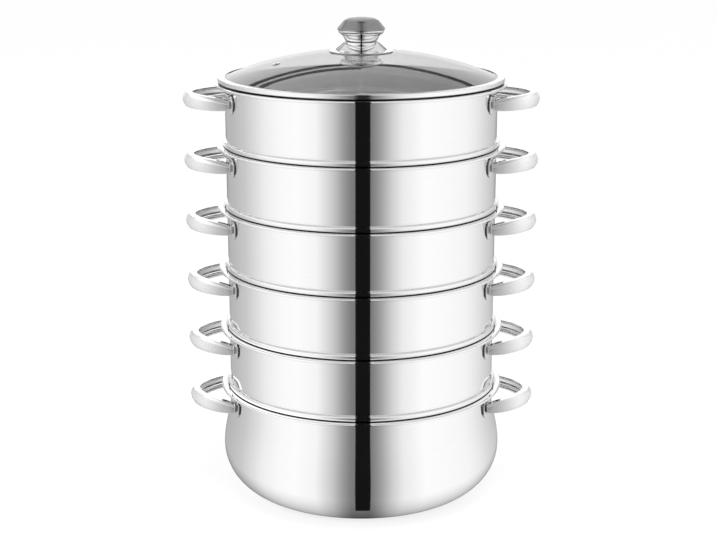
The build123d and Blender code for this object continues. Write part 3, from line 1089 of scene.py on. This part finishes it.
    path = nodes.new("ShaderNodeLightPath")
    plain = nodes.new("ShaderNodeBackground")
    plain.inputs["Color"].default_value = (1, 1, 1, 1)
    plain.inputs["Strength"].default_value = ambient
    mirror = nodes.new("ShaderNodeBackground")
    white = nodes.new("ShaderNodeBackground")
    white.inputs["Color"].default_value = (1, 1, 1, 1)
    tone = maths.blend(path.outputs["Is Transmission Ray"], tone, inside)
    links.new(tone, mirror.inputs["Color"])
    mirrored = maths.sum("MAXIMUM", path.outputs["Is Glossy Ray"], path.outputs["Is Transmission Ray"])
    first = nodes.new("ShaderNodeMixShader")
    links.new(mirrored, first.inputs[0])
    links.new(plain.outputs[0], first.inputs[1])
    links.new(mirror.outputs[0], first.inputs[2])
    second = nodes.new("ShaderNodeMixShader")
    links.new(path.outputs["Is Camera Ray"], second.inputs[0])
    links.new(first.outputs[0], second.inputs[1])
    links.new(white.outputs[0], second.inputs[2])
    result = nodes.new("ShaderNodeOutputWorld")
    links.new(second.outputs[0], result.inputs["Surface"])


def soft_light(name, size, power, place, aim):
    light = bpy.data.lights.new(name, "AREA")
    light.shape = "DISK"
    light.size = size
    light.energy = power
    holder = bpy.data.objects.new(name, light)
    holder.location = place
    direction = Vector(aim) - Vector(place)
    holder.rotation_euler = direction.to_track_quat("-Z", "Y").to_euler()
    holder.visible_glossy = False
    holder.visible_transmission = False
    bpy.context.scene.collection.objects.link(holder)


floor_size = 80
floor_tone = (0.9, 0.9, 0.9, 1)
floor_roughness = 0.9
floor_camera_share = 0.75              # the rest of what the camera sees keeps the pot's shadow
floor_white = 1.08


def build_floor():
    start_fresh()
    bpy.ops.mesh.primitive_plane_add(size=floor_size, location=(0, 0, 0))
    ground = bpy.context.object
    ground.name = "floor"
    ground.visible_glossy = False
    finish, nodes, links, surface = new_finish("pale_floor")
    surface.inputs["Base Color"].default_value = floor_tone
    surface.inputs["Roughness"].default_value = floor_roughness
    surface.inputs["Specular IOR Level"].default_value = 0
    path = nodes.new("ShaderNodeLightPath")
    seen = nodes.new("ShaderNodeMath")
    seen.operation = "MAXIMUM"
    links.new(path.outputs["Is Transmission Ray"], seen.inputs[1])
    share = nodes.new("ShaderNodeMath")
    share.operation = "MULTIPLY"
    share.inputs[1].default_value = floor_camera_share
    links.new(path.outputs["Is Camera Ray"], share.inputs[0])
    links.new(share.outputs[0], seen.inputs[0])
    white = nodes.new("ShaderNodeEmission")
    white.inputs["Color"].default_value = (1, 1, 1, 1)
    white.inputs["Strength"].default_value = floor_white
    blend = nodes.new("ShaderNodeMixShader")
    links.new(seen.outputs[0], blend.inputs[0])
    links.new(surface.outputs[0], blend.inputs[1])
    links.new(white.outputs[0], blend.inputs[2])
    links.new(blend.outputs[0], nodes["Material Output"].inputs["Surface"])
    ground.data.materials.append(finish)


# Camera: where the photograph was taken from
camera_distance = 1.585
camera_height = 0.644
camera_pitch = radians(14.43)
picture_width = 716
focal_pixels = 1543
axis_offset_pixels = 3.2
sensor_width = 36.0
farthest_seen = 200


def place_camera():
    camera = bpy.data.cameras.new("camera")
    camera.sensor_width = sensor_width
    camera.lens = focal_pixels * sensor_width / picture_width
    camera.shift_x = -axis_offset_pixels / picture_width
    camera.clip_end = farthest_seen
    holder = bpy.data.objects.new("camera", camera)
    holder.location = (0, -camera_distance, camera_height)
    holder.rotation_euler = (pi / 2 - camera_pitch, 0, 0)
    bpy.context.scene.collection.objects.link(holder)
    bpy.context.scene.camera = holder


build_studio()
build_floor()
soft_light("overhead softbox", 1.6, 22, (0.3, -0.6, 2.2), (0, 0, 0.2))
soft_light("left softbox", 1.2, 10, (-1.8, -1.2, 1.2), (0, 0, 0.25))
place_camera()
bpy.context.scene.view_settings.view_transform = "Standard"
